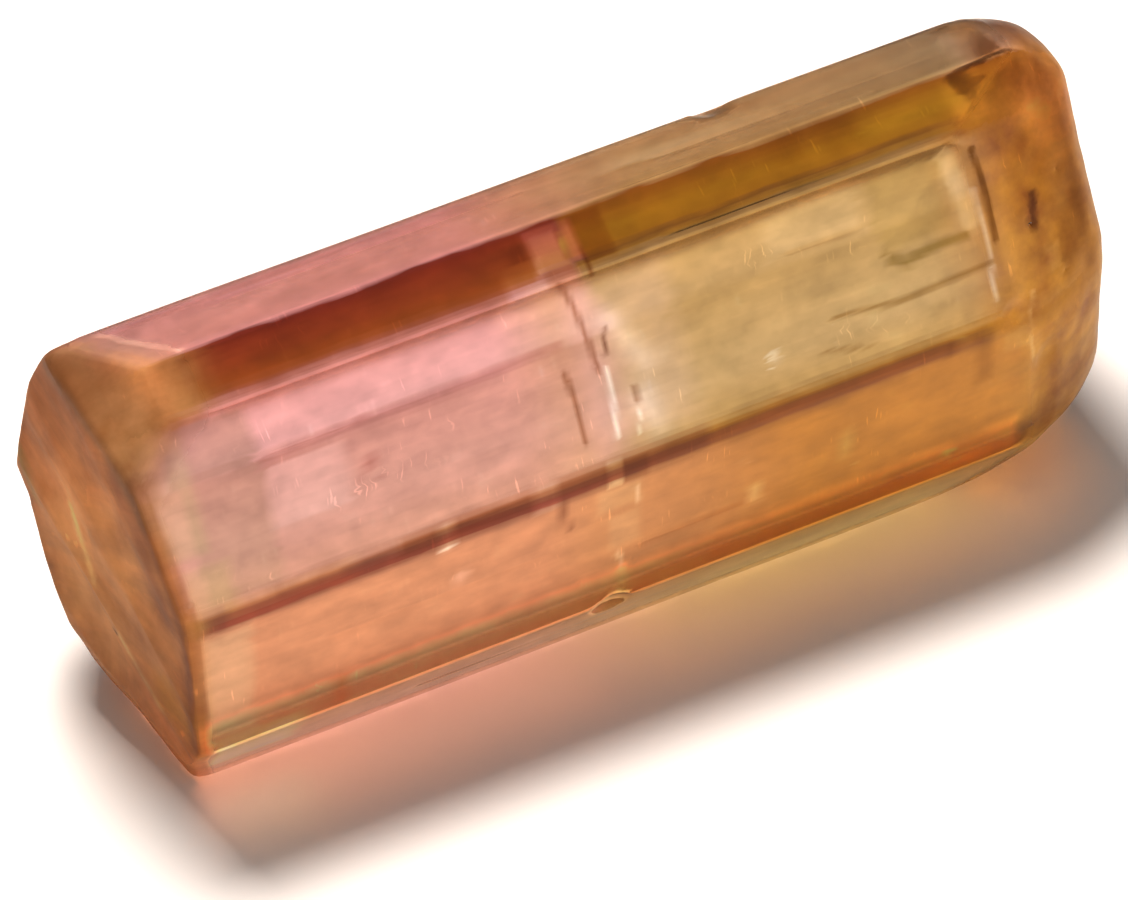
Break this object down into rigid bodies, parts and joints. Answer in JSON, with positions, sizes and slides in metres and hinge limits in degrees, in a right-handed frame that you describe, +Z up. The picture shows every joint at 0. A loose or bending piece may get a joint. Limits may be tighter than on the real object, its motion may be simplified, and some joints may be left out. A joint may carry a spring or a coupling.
{
  "type": "bicolor tourmaline crystal",
  "caption": "Short prismatic gem crystal, broken square at its pink end and grown to a faceted point at its yellow end; lies on a prism face as a display or prop piece.",
  "frame": {"origin": "on the surface it rests on, under the middle of the crystal's box", "axes": "+X along the prism from the broken pink end to the grown yellow end, +Z up off the resting prism face, -Y towards the window face's side"},
  "size_m": [0.0224, 0.0072, 0.0098],
  "materials": {
    "tourmaline": "clear, pink at the broken end to yellow-brown at the grown end, satin to glossy growth faces"
  },
  "bodies": {
    "root": {"crystal": "tourmaline"}
  },
  "joints": []
}
